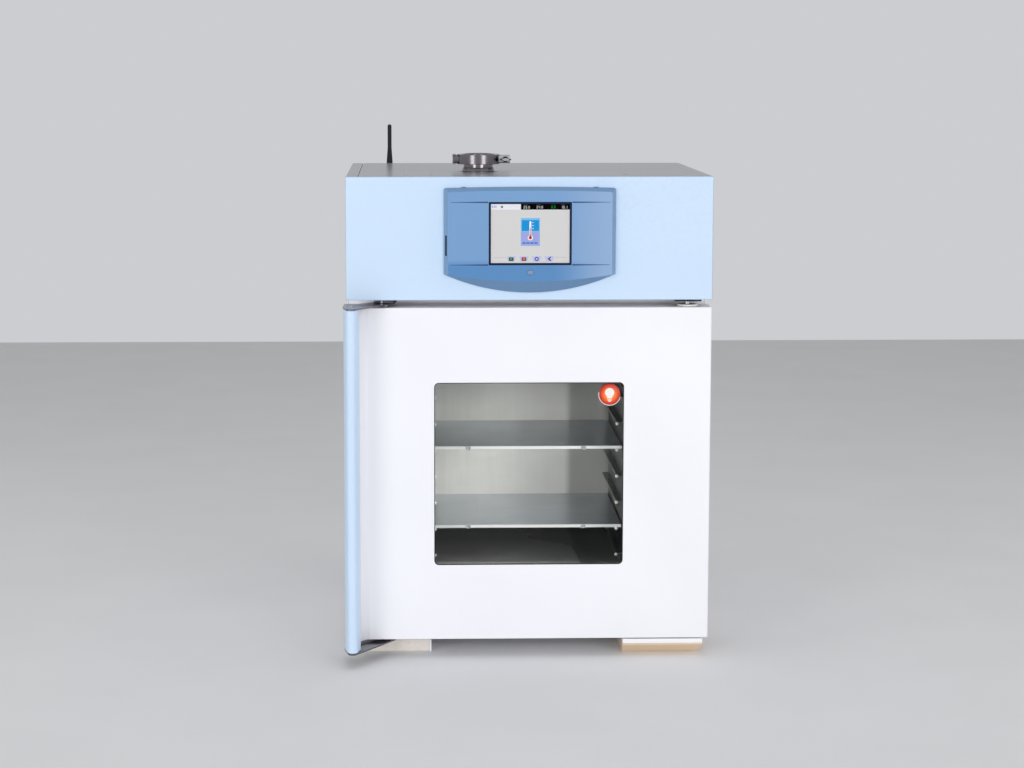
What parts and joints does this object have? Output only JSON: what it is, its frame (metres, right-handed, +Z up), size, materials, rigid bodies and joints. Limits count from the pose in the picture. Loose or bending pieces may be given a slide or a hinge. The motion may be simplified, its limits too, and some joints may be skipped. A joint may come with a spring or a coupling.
{
  "type": "vacuum drying oven",
  "caption": "Bench vacuum drying oven: glazed door with a full-height lever handle, shelves in a steel chamber, operator panel and a clamped vacuum port on top.",
  "frame": {"origin": "on the bench surface, under the middle of the whole oven's box", "axes": "+Z up, -Y the door side, +X to the right seen from the front"},
  "size_m": [0.544, 0.513, 0.783],
  "materials": {
    "pale_blue_paint": "satin powder coat",
    "cover_paint": "fine-textured powder coat",
    "white_paint": "satin powder coat",
    "cream_paint": "satin powder coat",
    "stainless": "brushed",
    "aluminium": "satin",
    "black_steel": "matt black",
    "bezel_plastic": "fine-grained moulding",
    "clear_glass": "clear",
    "screen": "screen",
    "silicone": "matt silicone",
    "black_rubber": "matt",
    "mineral_wool": "fibrous",
    "heater_mat": "matt",
    "circuit_board": "satin",
    "signal_red": "gloss",
    "black_plastic": "fine-grained moulding"
  },
  "bodies": {
    "cabinet": {"left_skid": "cream_paint", "right_skid": "cream_paint", "base_panel": "white_paint", "left_side_panel": "white_paint", "right_side_panel": "white_paint", "rear_panel": "white_paint", "top_cover": "cover_paint", "front_frame": "white_paint", "head_floor": "white_paint", "control_fascia": "pale_blue_paint", "chamber_shell": "stainless", "chamber_gasket": "silicone", "insulation_jacket": "mineral_wool", "heater_left": "heater_mat", "heater_right": "heater_mat", "heater_bottom": "heater_mat", "left_rack": "stainless", "right_rack": "stainless", "port_tube": "stainless", "port_centring_ring": "aluminium", "port_o_ring": "black_rubber", "port_blank_flange": "stainless", "clamp_half_front": "aluminium", "clamp_half_rear": "aluminium", "clamp_link": "stainless", "clamp_bolt": "stainless", "panel_bezel": "bezel_plastic", "display_screen": "screen", "controller_board": "circuit_board", "power_supply": "aluminium", "pressure_sensor": "stainless", "vacuum_pipe": "stainless", "vacuum_valve": "black_plastic", "gas_inlet_pipe": "stainless", "power_inlet": "black_plastic", "data_socket": "black_plastic", "antenna_connector": "stainless", "upper_hinge_bracket": "black_steel", "upper_hinge_pin": "stainless", "lower_hinge_plate": "white_paint", "lower_hinge_pin": "stainless", "latch_keeper": "black_steel"},
    "door": {"door_panel": "white_paint", "door_inner_frame": "white_paint", "window_surround": "white_paint", "window_pane": "clear_glass", "vacuum_glass": "clear_glass", "light_key": "signal_red", "hinge_disc": "stainless"},
    "lever_handle": {"handle_bar": "pale_blue_paint", "handle_arm_top": "black_steel", "handle_arm_bottom": "black_steel", "handle_shaft": "stainless"},
    "upper_shelf": {"upper_shelf": "aluminium"},
    "lower_shelf": {"lower_shelf": "aluminium"},
    "standby_key": {"standby_key": "aluminium"},
    "clamp_wing_nut": {"clamp_wing_nut": "stainless"},
    "antenna_knuckle": {"antenna_knuckle": "black_plastic"},
    "antenna_rod": {"antenna_rod": "black_rubber"},
    "mains_rocker": {"mains_rocker": "signal_red"}
  },
  "joints": [
    {"name": "door_hinge", "type": "hinge", "parent": "cabinet", "child": "door", "pos_m": [0.238, -0.1655, 0.276], "axis": [0, 0, 1], "range_deg": [0, 120]},
    {"name": "lever_hinge", "type": "hinge", "parent": "door", "child": "lever_handle", "pos_m": [-0.211, -0.1655, 0.276], "axis": [0, 0, 1], "range_deg": [0, 25]},
    {"name": "upper_shelf_slide", "type": "slide", "parent": "cabinet", "child": "upper_shelf", "axis": [0, -1, 0], "range_m": [0, 0.012]},
    {"name": "lower_shelf_slide", "type": "slide", "parent": "cabinet", "child": "lower_shelf", "axis": [0, -1, 0], "range_m": [0, 0.012]},
    {"name": "standby_key_press", "type": "slide", "parent": "cabinet", "child": "standby_key", "axis": [0, 1, 0], "range_m": [0, 0.0012], "stiffness_N_per_m": 800},
    {"name": "wing_nut_turn", "type": "hinge", "parent": "cabinet", "child": "clamp_wing_nut", "pos_m": [-0.0278, -0.0505, 0.7384], "axis": [0, 1, 0], "continuous": true},
    {"name": "aerial_swivel", "type": "hinge", "parent": "cabinet", "child": "antenna_knuckle", "pos_m": [-0.207, 0.2365, 0.695], "axis": [0, 1, 0], "range_deg": [-90, 90]},
    {"name": "aerial_tilt", "type": "hinge", "parent": "antenna_knuckle", "child": "antenna_rod", "pos_m": [-0.207, 0.2443, 0.695], "axis": [-1, 0, 0], "range_deg": [0, 90]},
    {"name": "mains_rocker_tilt", "type": "hinge", "parent": "cabinet", "child": "mains_rocker", "pos_m": [0.1772, 0.2333, 0.085], "axis": [-1, 0, 0], "range_deg": [0, 14]}
  ]
}
